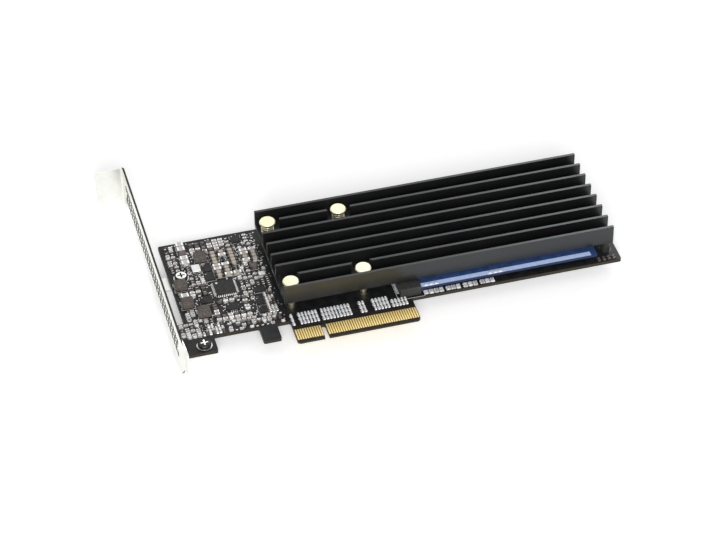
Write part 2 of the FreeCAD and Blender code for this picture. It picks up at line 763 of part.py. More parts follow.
def make_power_field():
    """Packages and small chips between the bracket and the heatsink, and along the tongue."""
    micro = place(micro_place, micro_size)
    flash = place(flash_place, flash_size)
    leads = leaded(micro, True, micro_leads_per_side)
    leads += leaded(micro, False, micro_leads_per_side)
    leads += leaded(flash, True, flash_leads_per_side)
    top_stage = (top_stage_place[0], board_height - top_stage_place[1])
    parts = {
        "microcontroller": [micro],
        "flash_chip": [flash],
        "chip_leads": leads,
        "power_inductors": [place(spot, inductor_size) for spot in inductor_places],
        "power_stages": [place(spot, stage_size) for spot in stage_places + (top_stage,)],
        "power_controller": [place(controller_chip_place, controller_size)],
        "clock_chip": [place(clock_place, clock_size)],
        "level_shifters": [place(spot, shifter_size) for spot in shifter_places],
        "oscillator": [place(oscillator_place, oscillator_size)],
        "crystal": [place(crystal_place, crystal_size)],
        "small_regulators": [place(spot, sot_size, True) for spot in regulator_places],
        "status_leds": [place((led_from_left, board_height - led_from_top - n * led_spacing),
                              led_size) for n in range(led_count)],
    }
    field = (board_edge_margin, sink_from_left - board_edge_margin,
             lower_edge_y + board_edge_margin, board_height)
    far_end = (module_right - board_left, board_right - board_edge_margin - board_left,
               lower_edge_y + board_edge_margin, lower_edge_y + front_row_depth)
    parts["bulk_capacitors"] = fill_zones(bulk_zones, bulk_chip)
    parts["large_capacitors"] = fill_zones(large_zones, large_chip)
    parts["medium_capacitors"] = fill_zones(medium_zones, medium_chip)
    parts["small_capacitors"] = fill(row_zone, small_chip)
    parts["small_capacitors"] += fill_zones(turned_zones, small_chip, True)
    for start, length in zip(front_rows_from_socket, front_row_lengths):
        low = socket_right - board_left + start
        zone = (low, low + length, lower_edge_y + board_edge_margin, lower_edge_y + front_row_depth)
        parts["small_capacitors"] += fill(zone, small_chip)
    parts["coupling_capacitors"] = make_coupling_capacitors()
    parts["small_resistors"] = fill(field, small_chip, False, free_spot_every)
    parts["far_end_resistors"] = fill(far_end, small_chip)
    return parts


def make_coupling_capacitors():
    """Groups of upright chips between the contacts and the heatsink."""
    width, length, height = small_chip[1], small_chip[0], small_chip[2]
    first_y = tongue_bevel_height + contact_length + coupling_above_contacts
    chips = []
    for start, columns, rows in zip(coupling_starts, coupling_column_counts,
                                    coupling_row_counts):
        for column in range(columns):
            x0 = -tongue_left + start + column * coupling_pitch_x
            for row in range(rows):
                y0 = first_y + row * coupling_pitch_y
                reserve(x0, x0 + width, y0, y0 + length)
                chips.append(block(x0, x0 + width, y0, y0 + length, 0.0, height))
    return chips


def make_back_capacitors():
    """Square of small capacitors on the solder side, behind the switch chip."""
    length, width, height = small_chip
    pitch_x, pitch_y = length + chip_gap_x, width + chip_gap_y
    columns, rows = int(switch_die_size / pitch_x), int(switch_die_size / pitch_y)
    return group([centred_block(switch_x + (column - (columns - 1) / 2) * pitch_x,
                                switch_y + (row - (rows - 1) / 2) * pitch_y,
                                small_chip, -board_thickness - height)
                  for column in range(columns) for row in range(rows)])


def make_switch_substrate():
    return centred_block(switch_x, switch_y,
                         (switch_size, switch_size, switch_substrate_height))


def make_switch_die():
    return centred_block(switch_x, switch_y,
                         (switch_die_size, switch_die_size, switch_die_height),
                         switch_substrate_height)


def make_switch_pad():
    return centred_block(switch_x, switch_y,
                         (switch_die_size, switch_die_size, switch_pad_thickness), switch_top_z)


def make_all():
    reserve_fixed_parts()
    nodes = {
        "circuit_board": make_board(),
        "edge_contacts_front": make_contacts(0.0),
        "edge_contacts_back": make_contacts(-board_thickness - contact_thickness),
        "heatsink": make_heatsink(),
        "push_pins": make_push_pins(),
        "pin_springs": make_pin_springs(),
        "heatsink_spacers": make_spacers(),
        "heatsink_screws": make_sink_screws(),
        "switch_substrate": make_switch_substrate(),
        "switch_die": make_switch_die(),
        "switch_thermal_pad": make_switch_pad(),
        "module_screws": make_module_screws(),
        "module_standoffs": make_standoffs(),
        "module_passives": make_module_passives(),
        "socket_tails": make_socket_tails(),
        "bracket": make_bracket(),
        "bracket_screws": make_ear_screws(),
        "back_capacitors": make_back_capacitors(),
    }
    for name, front_y in zip(("lower", "upper"), module_ys):
        nodes["module_board_" + name] = make_module_board(front_y)
        nodes["module_socket_" + name] = make_socket(front_y)
        nodes["module_controller_" + name] = module_chip(front_y, controller_place)
        nodes["module_cache_" + name] = module_chip(front_y, cache_place)
        nodes["module_memory_" + name] = group([module_chip(front_y, spot)
                                                for spot in memory_places()])
        nodes["module_pad_" + name] = make_module_pad(front_y)
    for name, shapes in make_power_field().items():
        nodes[name] = shapes[0] if len(shapes) == 1 else group(shapes)
    return nodes


os.makedirs("parts", exist_ok=True)
for node_name, node_shape in make_all().items():
    node_shape.exportStep("parts/" + node_name + ".step")
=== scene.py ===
import json
import math
import random

import bmesh
import bpy
from mathutils import Matrix, Vector, noise


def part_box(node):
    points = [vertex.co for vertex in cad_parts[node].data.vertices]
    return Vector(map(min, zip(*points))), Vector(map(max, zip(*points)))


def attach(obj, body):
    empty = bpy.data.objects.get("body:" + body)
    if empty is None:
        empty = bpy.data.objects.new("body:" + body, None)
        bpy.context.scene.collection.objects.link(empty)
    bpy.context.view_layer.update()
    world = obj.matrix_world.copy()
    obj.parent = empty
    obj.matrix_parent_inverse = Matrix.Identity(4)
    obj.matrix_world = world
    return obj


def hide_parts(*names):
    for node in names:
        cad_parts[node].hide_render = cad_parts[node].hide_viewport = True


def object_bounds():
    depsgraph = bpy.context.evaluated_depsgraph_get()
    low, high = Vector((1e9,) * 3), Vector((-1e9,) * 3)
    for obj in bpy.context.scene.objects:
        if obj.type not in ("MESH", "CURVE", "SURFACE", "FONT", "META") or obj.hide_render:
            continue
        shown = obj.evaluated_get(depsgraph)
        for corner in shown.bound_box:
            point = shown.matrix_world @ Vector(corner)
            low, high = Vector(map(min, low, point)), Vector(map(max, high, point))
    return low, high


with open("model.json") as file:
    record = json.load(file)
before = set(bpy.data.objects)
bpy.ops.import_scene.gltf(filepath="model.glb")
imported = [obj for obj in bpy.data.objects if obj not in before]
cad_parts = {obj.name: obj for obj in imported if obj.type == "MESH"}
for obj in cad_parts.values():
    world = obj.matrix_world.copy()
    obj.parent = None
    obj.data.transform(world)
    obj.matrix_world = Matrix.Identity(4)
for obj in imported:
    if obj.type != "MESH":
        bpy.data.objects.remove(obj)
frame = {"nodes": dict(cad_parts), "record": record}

cad_low, cad_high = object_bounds()
dice = random.Random(4)
MM = 0.001

# Expansion card with two M.2 modules under a heatsink, on its back on a plain floor. Metres, in
# the part's own frame. The large pieces are the CAD's own; chips, leads and springs are built up
# here from the corners of their CAD solids.

# Camera, as the photograph was taken: place, viewing direction and field of view
camera_place = Vector((-199.1, -800.4, 740.1)) * MM
camera_direction = Vector((0.1947, 0.7347, -0.6498))
camera_roll = -0.82
camera_lens = 138.5
camera_sensor = 36.0
camera_near = 0.01

# Stage and light; the places of the two lights are measured from the middle of the card
floor_size = 6.0
floor_colour = (0.93, 0.93, 0.93)
floor_glow = 0.3
world_strength = 0.42
key_from_card = Vector((-0.25, -1.1, 0.62))
key_size = 0.7
key_power = 14.0
rim_from_card = Vector((0.7, 0.9, 0.8))
rim_size = 0.6
rim_power = 4.0

# Surfaces: weak shine of dark plastics and mask, and depths of the fine grain
dark_specular = 0.22
metal_grain = 0.01 * MM
plastic_grain = 0.02 * MM
powder_grain = 0.05 * MM
edge_radius = 0.12 * MM
small_edge_radius = 0.08 * MM

# Bracket: where the sheared walls of its plate lie, from its tab's outer end; these walls carry
# painted shade
tab_length = 11.43 * MM
plate_thickness = 0.86 * MM
wall_reach = 0.5 * MM

# Painted highlight on each bracket screw, a bright patch on its black coating: radius, depth of
# its start, and height
painted_highlight_places = ((1.7 * MM, 0.02 * MM, 0.6 * MM), (2.4 * MM, -0.1 * MM, 0.13 * MM))

# Solids of one node are told apart where their corners lie further from each other than this
merge_distance = 0.002 * MM

# Chip parts: end caps, bodies and solder fillets; a resistor's shares are of its height, and a
# fillet's profile is in shares of its reach and of the chip's height
cap_share = 0.24
cap_proud = 0.012 * MM
cap_bevel = 0.05 * MM
body_inset = 0.015 * MM
body_bevel = 0.04 * MM
resistor_body_share = 0.8
resistor_film_share = 0.94
fillet_reach = 0.17 * MM
fillet_profile = ((0.0, 0.0), (1.0, 0.0), (0.4, 0.22), (0.0, 0.62))

# The palette of all chip parts, and each material's place in it
chip_palette = ("resistor_black", "capacitor_ceramic", "capacitor_grey", "capacitor_rose",
                "alumina", "tin", "dull_solder", "capacitor_brown", "frosted_solder_painted_light")
black, tan, grey, rose, white, bright, dull, brown, frosted_and_lit = range(len(chip_palette))

# Dark and light chips: patches and single chips differ, and the parts near the contacts are
# lighter. Below the dark level a chip takes its dark bodies, above the light one its light ones
patch_size = 5.0 * MM
patch_slice = 4.0 * MM
cell_size = 0.37 * MM
lift_per_metre = 42.0
most_lift = 0.62
lift_below = 45 * MM
dark_level = -0.35
light_level = 0.0
# Reach behind the modules' front edge within which chips are painted light against the module's
# shade
module_row_reach = 3 * MM

# Moulded packages: body over the board, pads at its sides and pin-one dimple
package_stand = 0.03 * MM
package_bevel = 0.06 * MM
pad_half_width = 0.11 * MM
pad_half_reach = 0.05 * MM
pad_height = 0.18 * MM
dimple_inset_share = 0.16
dimple_radius_share = 0.06
dimple_height = 0.01 * MM

# Springs under the pin heads
spring_wire = 0.25 * MM
spring_turns = 4.6
spring_steps_per_turn = 28
spring_sides = 8
spring_end_ease = 0.5

# Print on the board
print_height = 0.02 * MM
print_width = 0.16 * MM
print_margin = 0.28 * MM
print_gap_share = 0.4
chip_print_share = 0.42
chip_print_margin = 0.16 * MM
socket_print_margin = 1.3 * MM

# Copper tracks: stubs above the contacts, and bundles on the back to the switch chip
track_height = 0.018 * MM
track_width = 0.16 * MM
stub_width = 0.34 * MM
stub_length = 3.4 * MM
contact_overlap = 0.1 * MM
first_bend = 3.0 * MM
bend_step = 0.12 * MM
bend_slope = 0.8
under_switch = 2.0 * MM
bundle_tracks = 16
bundle_margin_share = 0.1
bundle_first_bend = 2.0 * MM
bundle_bend_step = 0.35 * MM
bundle_slope = 0.7
bundle_under_switch = 1.5 * MM
bundle_end_gap = 0.6 * MM

# Rings round the holes of each fastener: hole's radius, ring's radius, and material in front
ring_places = (("push_pins", 1.8 * MM, 2.7 * MM, 1), ("heatsink_screws", 1.35 * MM, 2.6 * MM, 1),
               ("bracket_screws", 1.6 * MM, 3.2 * MM, 0))
ring_sides = 20

# Vias: rows along the board's edges, groups under the power parts, rows beside the sockets and
# single ones; in front they stand between the parts of the field
via_hole = 0.13 * MM
back_via_radius = 0.3 * MM
front_via_radius = 0.28 * MM
via_sides = 10
via_from_left = 6 * MM
via_from_edge = 1.2 * MM
lowest_via_y = 14.6 * MM
edge_via_pitch = 3 * MM
power_via_pitch = 1.1 * MM
socket_via_pitch = 1.5 * MM
socket_via_before = 1.6 * MM
socket_via_behind = 2.4 * MM
back_via_tries = 130
front_via_tries = 900
back_via_clearance = 1.5 * MM
front_via_clearance = 0.45 * MM
via_spacing = 0.9 * MM
module_sockets = ("module_socket_lower", "module_socket_upper")

# Nodes that cover or frame the whole field, so that vias may stand within their boxes
large_nodes = ("circuit_board", "heatsink", "bracket", "back_capacitors", "edge_contacts_back")

# Painted highlight on a module, a pale band standing in for the lit front margin of its board: how
# far it keeps from the socket's end, the screw's end and the front edge
highlight_from_socket = 4.2 * MM
highlight_from_end = 2.6 * MM
highlight_low = 0.5 * MM
highlight_high = 2.9 * MM

# Solder round the tails of the sockets
tail_solder_width = 0.04 * MM
tail_solder_share = 0.6
tail_solder_bevel = 0.03 * MM

materials = {}


# Node helpers; the owner of a node is a material or the world

def new_material(name, colour, roughness, metallic=0.0):
    material = bpy.data.materials.new(name)
    material.use_nodes = True
    shader = material.node_tree.nodes["Principled BSDF"]
    shader.inputs["Base Color"].default_value = (*colour, 1.0)
    shader.inputs["Roughness"].default_value = roughness
    shader.inputs["Metallic"].default_value = metallic
    materials[name] = material
    return material, shader


def add_node(owner, kind, settings=None, **inputs):
    node = owner.node_tree.nodes.new(kind)
    for key, value in (settings or {}).items():
        setattr(node, key, value)
    for key, value in inputs.items():
        node.inputs[key.replace("_", " ")].default_value = value
    return node


def join(owner, source, target):
    owner.node_tree.links.new(source, target)


def calculate(owner, operation, *values):
    """A number worked out from sockets and fixed numbers."""
    node = add_node(owner, "ShaderNodeMath", {"operation": operation})
    for value, socket in zip(values, node.inputs):
        if isinstance(value, float):
            socket.default_value = value
        else:
            join(owner, value, socket)
    return node.outputs["Value"]


def object_noise(material, scale, detail=3.0, stretch=(1.0, 1.0, 1.0)):
    """Noise over the object's own coordinates; scale is in features per metre."""
    place = add_node(material, "ShaderNodeTexCoord")
    mapping = add_node(material, "ShaderNodeMapping", Scale=stretch)
    texture = add_node(material, "ShaderNodeTexNoise", Scale=scale, Detail=detail)
    join(material, place.outputs["Object"], mapping.inputs["Vector"])
    join(material, mapping.outputs["Vector"], texture.inputs["Vector"])
    return texture.outputs["Fac"]


def ramp(material, source, stops):
    node = add_node(material, "ShaderNodeValToRGB")
    elements = node.color_ramp.elements
    for element, (position, colour) in zip(elements, stops):
        element.position = position
        element.color = (*colour, 1.0)
    join(material, source, node.inputs["Fac"])
    return node.outputs["Color"]


def spread(material, source, low, high):
    node = add_node(material, "ShaderNodeMapRange", To_Min=low, To_Max=high)
    join(material, source, node.inputs["Value"])
    return node.outputs["Result"]


def mixed(material, factor, first, second):
    """A colour between two others, each a socket or a fixed colour."""
    node = add_node(material, "ShaderNodeMix", {"data_type": "RGBA"})
    colours = [socket for socket in node.inputs if socket.type == "RGBA"]
    factors = [socket for socket in node.inputs if socket.type == "VALUE"]
    for socket, value in zip(colours, (first, second)):
        if isinstance(value, tuple):
            socket.default_value = (*value, 1.0)
        else:
            join(material, value, socket)
    join(material, factor, factors[0])
    return [socket for socket in node.outputs if socket.type == "RGBA"][0]


def blend_value(material, factor, first, second):
    """A number that moves from a source to a fixed value with the factor."""
    node = add_node(material, "ShaderNodeMix", {"data_type": "FLOAT"})
    join(material, factor, node.inputs[0])
    join(material, first, node.inputs[2])
    node.inputs[3].default_value = second
    return node.outputs[0]


def bump(material, shader, source, strength, distance, normal=None):
    node = add_node(material, "ShaderNodeBump", Strength=strength, Distance=distance)
    join(material, source, node.inputs["Height"])
    if normal is not None:
        join(material, normal, node.inputs["Normal"])
    join(material, node.outputs["Normal"], shader.inputs["Normal"])


def edge_rounding(material, radius):
    return add_node(material, "ShaderNodeBevel", Radius=radius).outputs["Normal"]


def parts_of(material, source):
    """The X, Y and Z of a vector."""
    split = add_node(material, "ShaderNodeSeparateXYZ")
    join(material, source, split.inputs["Vector"])
    return split.outputs


def upward(material):
    """1 where a surface faces up or down, 0 on the board's cut edges."""
    geometry = add_node(material, "ShaderNodeNewGeometry")
    slope = calculate(material, "ABSOLUTE", parts_of(material, geometry.outputs["Normal"])["Z"])
    return calculate(material, "GREATER_THAN", slope, 0.5)


def seen_directly(owner):
    """1 for rays from the camera and for reflections and refractions, 0 for lighting."""
    path = add_node(owner, "ShaderNodeLightPath")
    seen = path.outputs["Is Camera Ray"]
    for name in ("Is Glossy Ray", "Is Transmission Ray"):
        seen = calculate(owner, "MAXIMUM", seen, path.outputs[name])
    return seen


# Materials

def board_material(name, mask, light_mask, core):
    """Solder mask over copper and laminate, with the bare laminate on the cut edges."""
    material, shader = new_material(name, mask, 0.38)
    shader.inputs["Specular IOR Level"].default_value = dark_specular
    copper = object_noise(material, 260.0, 2.0)
    mask_colour = ramp(material, copper, ((0.46, mask), (0.54, light_mask)))
    layers = object_noise(material, 900.0, 2.0, (0.05, 0.05, 4.0))
    core_colour = ramp(material, layers, ((0.35, core), (0.65, tuple(c * 0.6 for c in core))))
    colour = mixed(material, upward(material), core_colour, mask_colour)
    join(material, colour, shader.inputs["Base Color"])
    grain = object_noise(material, 5200.0, 2.0)
    join(material, spread(material, grain, 0.3, 0.48), shader.inputs["Roughness"])
    bump(material, shader, grain, 0.15, plastic_grain)


def metal_material(name, dark, light, roughness, grain_scale, rounding=0.0):
    material, shader = new_material(name, light, roughness, 1.0)
    cloud = object_noise(material, grain_scale / 12)
    join(material, ramp(material, cloud, ((0.3, dark), (0.7, light))), shader.inputs["Base Color"])
    grain = object_noise(material, grain_scale, 4.0)
    join(material, spread(material, grain, roughness * 0.75, roughness * 1.3),
         shader.inputs["Roughness"])
    normal = edge_rounding(material, rounding) if rounding else None
    bump(material, shader, grain, 0.2, metal_grain, normal)


def moulded_material(name, dark, light, roughness, grain_scale=6000.0, depth=plastic_grain,
                     specular=0.5):
    material, shader = new_material(name, dark, roughness)
    shader.inputs["Specular IOR Level"].default_value = specular
    cloud = object_noise(material, grain_scale / 9)
    join(material, ramp(material, cloud, ((0.35, dark), (0.65, light))),
         shader.inputs["Base Color"])
    grain = object_noise(material, grain_scale)
    join(material, spread(material, grain, roughness * 0.85, min(1.0, roughness * 1.2)),
         shader.inputs["Roughness"])
    bump(material, shader, grain, 0.3, depth)


def anodised_material():
    """Black anodised extrusion: fine lines along the fins and a faint cloudiness."""
    material, shader = new_material("black_anodised", (0.007, 0.007, 0.0075), 0.3)
    cloud = object_noise(material, 45.0)
    join(material, ramp(material, cloud, ((0.3, (0.005, 0.005, 0.0055)),
                                          (0.7, (0.009, 0.009, 0.009)))),
         shader.inputs["Base Color"])
    lines = object_noise(material, 5200.0, 3.0, (0.012, 1.0, 1.0))
    join(material, spread(material, lines, 0.26, 0.4), shader.inputs["Roughness"])
    shader.inputs["Specular IOR Level"].default_value = 0.66
    shader.inputs["Specular Tint"].default_value = (0.92, 0.98, 1.0, 1.0)
    bump(material, shader, lines, 0.35, plastic_grain, edge_rounding(material, edge_radius))


def floor_material():
    """Plain pale floor that reads as near white to the camera and keeps a soft shadow."""
    material, shader = new_material("pale_floor", floor_colour, 0.9)
    shader.inputs["Specular IOR Level"].default_value = 0.1
    glow = add_node(material, "ShaderNodeEmission", Strength=floor_glow)
    none = add_node(material, "ShaderNodeEmission", Strength=0.0)
    pick = add_node(material, "ShaderNodeMixShader")
    total = add_node(material, "ShaderNodeAddShader")
    output = material.node_tree.nodes["Material Output"]
    join(material, seen_directly(material), pick.inputs["Fac"])
    join(material, none.outputs["Emission"], pick.inputs[1])
    join(material, glow.outputs["Emission"], pick.inputs[2])
    join(material, shader.outputs["BSDF"], total.inputs[0])
    join(material, pick.outputs["Shader"], total.inputs[1])
    join(material, total.outputs["Shader"], output.inputs["Surface"])
    return material


def bracket_material():
    """Plated sheet: bright faces, and rougher walls where the plate was sheared, darkened with
    painted shade.
    """
    material, shader = new_material("bracket_steel", (0.9, 0.9, 0.86), 0.3, 1.0)
    cloud = object_noise(material, 210.0)
    faces = ramp(material, cloud, ((0.3, (0.80, 0.80, 0.77)), (0.7, (0.88, 0.88, 0.84))))
    place = add_node(material, "ShaderNodeTexCoord")
    geometry = add_node(material, "ShaderNodeNewGeometry")
    x = parts_of(material, place.outputs["Object"])["X"]
    facing = parts_of(material, geometry.outputs["Normal"])["X"]
    plate_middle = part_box("bracket")[0].x + tab_length + plate_thickness / 2
    walls = calculate(material, "COMPARE", facing, 0.0, 0.5)
    in_sheet = calculate(material, "COMPARE", x, plate_middle, wall_reach)
    sheared_and_shaded = calculate(material, "MULTIPLY", walls, in_sheet)
    # Painted shade: the walls of the plate's edges and vents are made near black
    join(material, mixed(material, sheared_and_shaded, faces, (0.05, 0.05, 0.05)),
         shader.inputs["Base Color"])
    grain = object_noise(material, 2600.0, 4.0, (1.0, 0.05, 1.0))
    even = spread(material, grain, 0.22, 0.38)
    join(material, blend_value(material, sheared_and_shaded, even, 0.65), shader.inputs["Roughness"])
    shader.inputs["Specular Tint"].default_value = (0.96, 0.96, 0.94, 1.0)
    bump(material, shader, grain, 0.2, metal_grain, edge_rounding(material, edge_radius))


def coated_steel():
    """Blackened screws, with a painted highlight of bright metal in one recess and over the other
    one's head.
    """
    coating, highlight_colour = (0.04, 0.04, 0.04), (0.9, 0.9, 0.88)
    material, shader = new_material("coated_steel", coating, 0.4, 1.0)
    place = add_node(material, "ShaderNodeTexCoord")
    z = parts_of(material, place.outputs["Object"])["Z"]
    flat = add_node(material, "ShaderNodeVectorMath", {"operation": "MULTIPLY"})
    flat.inputs[1].default_value = (1.0, 1.0, 0.0)
    join(material, place.outputs["Object"], flat.inputs[0])
    painted_highlights = []
    for (low, high), (radius, top, depth) in zip(islands("bracket_screws"), painted_highlight_places):
        reach = add_node(material, "ShaderNodeVectorMath", {"operation": "DISTANCE"})
        reach.inputs[1].default_value = ((low.x + high.x) / 2, (low.y + high.y) / 2, 0.0)
        join(material, flat.outputs["Vector"], reach.inputs[0])
        near = calculate(material, "COMPARE", reach.outputs["Value"], 0.0, radius)
        level = calculate(material, "COMPARE", z, high.z - top - depth / 2, depth / 2)
        painted_highlights.append(calculate(material, "MULTIPLY", near, level))
    # Painted highlights: bright patches on the black coating stand in for glints on the screw
    # heads
    join(material, mixed(material, calculate(material, "MAXIMUM", *painted_highlights), coating, highlight_colour),
         shader.inputs["Base Color"])
    grain = object_noise(material, 3200.0, 4.0)
    join(material, spread(material, grain, 0.3, 0.5), shader.inputs["Roughness"])
    bump(material, shader, grain, 0.2, metal_grain, edge_rounding(material, small_edge_radius))


def make_materials():
    board_material("black_solder_mask", (0.009, 0.010, 0.011), (0.016, 0.016, 0.016),
                   (0.035, 0.028, 0.016))
    board_material("blue_solder_mask", (0.025, 0.06, 0.18), (0.034, 0.075, 0.22),
                   (0.02, 0.03, 0.08))
    metal_material("gold_plating", (0.98, 0.70, 0.24), (1.0, 0.82, 0.36), 0.45, 3000.0)
    metal_material("brass", (0.86, 0.82, 0.54), (0.98, 0.95, 0.70), 0.34, 1800.0,
                   small_edge_radius)
    metal_material("spring_steel", (0.6, 0.55, 0.36), (0.8, 0.74, 0.5), 0.3, 3000.0)
    metal_material("screw_steel", (0.68, 0.68, 0.67), (0.85, 0.85, 0.84), 0.25, 3600.0,
                   small_edge_radius)
    metal_material("tin", (0.82, 0.82, 0.81), (0.96, 0.96, 0.94), 0.42, 5200.0)
    metal_material("can_metal", (0.7, 0.7, 0.69), (0.85, 0.85, 0.84), 0.3, 3200.0)
    metal_material("masked_copper", (0.035, 0.022, 0.016), (0.06, 0.036, 0.026), 0.4, 2400.0)
    metal_material("dull_solder", (0.07, 0.065, 0.06), (0.14, 0.13, 0.12), 0.5, 5200.0)
    moulded_material("black_package", (0.015, 0.014, 0.015), (0.028, 0.026, 0.026), 0.55,
                     specular=dark_specular)
    moulded_material("socket_plastic", (0.018, 0.018, 0.018), (0.03, 0.03, 0.03), 0.6)
    moulded_material("black_nylon", (0.016, 0.016, 0.016), (0.024, 0.024, 0.024), 0.5)
    moulded_material("green_substrate", (0.03, 0.12, 0.04), (0.05, 0.17, 0.06), 0.35)
    moulded_material("silicon", (0.06, 0.065, 0.08), (0.09, 0.095, 0.11), 0.12)
    moulded_material("grey_pad", (0.36, 0.37, 0.42), (0.44, 0.45, 0.5), 0.8)
    moulded_material("inductor_grey", (0.08, 0.068, 0.062), (0.14, 0.12, 0.11), 0.75, 9000.0,
                     powder_grain, dark_specular)
    moulded_material("capacitor_ceramic", (0.40, 0.36, 0.29), (0.52, 0.47, 0.39), 0.4)
    moulded_material("capacitor_grey", (0.50, 0.48, 0.46), (0.64, 0.62, 0.60), 0.4)
    moulded_material("capacitor_brown", (0.10, 0.08, 0.07), (0.15, 0.12, 0.11), 0.4)
    moulded_material("capacitor_rose", (0.48, 0.40, 0.39), (0.62, 0.53, 0.52), 0.4)
    # Pale frosted solder, painted light for chip ends in the shade of the modules and the heatsink
    # wall
    moulded_material("frosted_solder_painted_light", (0.84, 0.85, 0.89), (0.92, 0.93, 0.97), 0.45)
    moulded_material("resistor_black", (0.018, 0.016, 0.018), (0.034, 0.03, 0.03), 0.35,
                     specular=dark_specular)
    moulded_material("alumina", (0.80, 0.80, 0.79), (0.90, 0.90, 0.88), 0.5)
    moulded_material("led_white", (0.78, 0.79, 0.8), (0.86, 0.86, 0.87), 0.35)
    moulded_material("phosphor", (0.75, 0.66, 0.3), (0.82, 0.74, 0.4), 0.3)
    # Pale blue for the painted highlight along the modules' front edge
    moulded_material("pale_blue_highlight", (0.48, 0.61, 0.92), (0.57, 0.69, 0.98), 0.4)
    moulded_material("print_white", (0.72, 0.72, 0.70), (0.84, 0.84, 0.82), 0.7)
    anodised_material()
    bracket_material()
    coated_steel()


# Mesh helpers

def islands(node):
    """Lowest and highest corner of each separate solid of a CAD node, in a fixed order."""
    work = bmesh.new()
    work.from_mesh(frame["nodes"][node].data)
    bmesh.ops.remove_doubles(work, verts=work.verts, dist=merge_distance)
    for vert in work.verts:
        vert.tag = False
    found = []
    for seed in work.verts:
        if seed.tag:
            continue
        seed.tag = True
        stack, points = [seed], []
        while stack:
            vert = stack.pop()
            points.append(vert.co.copy())
            for edge in vert.link_edges:
                other = edge.other_vert(vert)
                if not other.tag:
                    other.tag = True
                    stack.append(other)
        low = Vector([min(p[axis] for p in points) for axis in range(3)])
        high = Vector([max(p[axis] for p in points) for axis in range(3)])
        found.append((low, high))
    work.free()
    return sorted(found, key=lambda pair: [round(c, 6) for c in (*pair[0], *pair[1])])


def place_object(name, data):
    made = bpy.data.objects.new(name, data)
    bpy.context.scene.collection.objects.link(made)
    return made


def piece(name, mesh, palette, replaced=()):
    """Turns a bmesh into a named piece that rides on the card."""
    bmesh.ops.recalc_face_normals(mesh, faces=mesh.faces)
    data = bpy.data.meshes.new(name)
    mesh.to_mesh(data)
    mesh.free()
    for colour in palette:
        data.materials.append(materials[colour])
    made = place_object(name, data)
    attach(made, "root")
    if replaced:
        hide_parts(*replaced)


def add_box(mesh, low, high, material=0, bevel=0.0):
    centre, size = (low + high) / 2, high - low
    place = Matrix.Translation(centre) @ Matrix.Diagonal((*size, 1.0))
    verts = bmesh.ops.create_cube(mesh, size=1.0, matrix=place)["verts"]
    faces = list(dict.fromkeys(face for vert in verts for face in vert.link_faces))
    for face in faces:
        face.material_index = material
    if bevel:
        edges = list(dict.fromkeys(edge for vert in verts for edge in vert.link_edges))
        bmesh.ops.bevel(mesh, geom=edges, offset=bevel, segments=1, affect="EDGES")


def add_prism(mesh, outline, direction, material=0):
    """Closed prism: a flat outline of points pushed along a direction."""
    first = [mesh.verts.new(point) for point in outline]
    second = [mesh.verts.new(point + direction) for point in outline]
    count = len(outline)
    faces = [mesh.faces.new(first), mesh.faces.new(second[::-1])]
    for n in range(count):
        m = (n + 1) % count
        faces.append(mesh.faces.new((first[m], first[n], second[n], second[m])))
    for face in faces:
        face.material_index = material


def circle(centre, radius, sides, level=0.0):
    """Points round a centre, at a level above it."""
    angles = [2 * math.pi * n / sides for n in range(sides)]
    return [centre + Vector((radius * math.cos(angle), radius * math.sin(angle), level))
            for angle in angles]


def add_disc(mesh, centre, radius, height, material=0, sides=12):
    add_prism(mesh, circle(centre, radius, sides), Vector((0.0, 0.0, height)), material)


def add_ring(mesh, centre, inner, outer, material=0, sides=ring_sides):
    """Flat washer as thick as a track, on top of its centre."""
    corners = ((inner, 0.0), (outer, 0.0), (outer, track_height), (inner, track_height))
    loops = [[mesh.verts.new(point) for point in circle(centre, radius, sides, level)]
             for radius, level in corners]
    for k in range(4):
        for n in range(sides):
            m = (n + 1) % sides
            face = mesh.faces.new((loops[k][n], loops[k][m],
                                   loops[(k + 1) % 4][m], loops[(k + 1) % 4][n]))
            face.material_index = material


def add_ribbon(mesh, points, width, level):
    """Flat track of even width along a line of points on the board."""
    left, right = [], []
    for n, point in enumerate(points):
        before = points[max(n - 1, 0)]
        after = points[min(n + 1, len(points) - 1)]
        along = Vector((after[0] - before[0], after[1] - before[1])).normalized()
        across = Vector((-along.y, along.x)) * (width / 2)
        left.append(Vector((point[0] + across.x, point[1] + across.y, level)))
        right.append(Vector((point[0] - across.x, point[1] - across.y, level)))
    for n in range(len(points) - 1):
        add_prism(mesh, [left[n], left[n + 1], right[n + 1], right[n]],
                  Vector((0.0, 0.0, track_height)))


def lies_turned(low, high):
    """True for a part that is longer along Y than along X."""
    return high.y - low.y > high.x - low.x


def local_box(low, high, turned=False):
    """Length and width of a footprint, and a function from local to board coordinates."""
    centre = (low + high) / 2
    length = high.y - low.y if turned else high.x - low.x
    width = high.x - low.x if turned else high.y - low.y

    def out(along, across, up):
        if turned:
            return Vector((centre.x - across, centre.y + along, low.z + up))
        return Vector((centre.x + along, centre.y + across, low.z + up))
    return length, width, out


def box_between(mesh, out, start, end, material=0, bevel=0.0):
    a, b = out(*start), out(*end)
    low = Vector([min(a[n], b[n]) for n in range(3)])
    high = Vector([max(a[n], b[n]) for n in range(3)])
    add_box(mesh, low, high, material, bevel)


# Chip parts

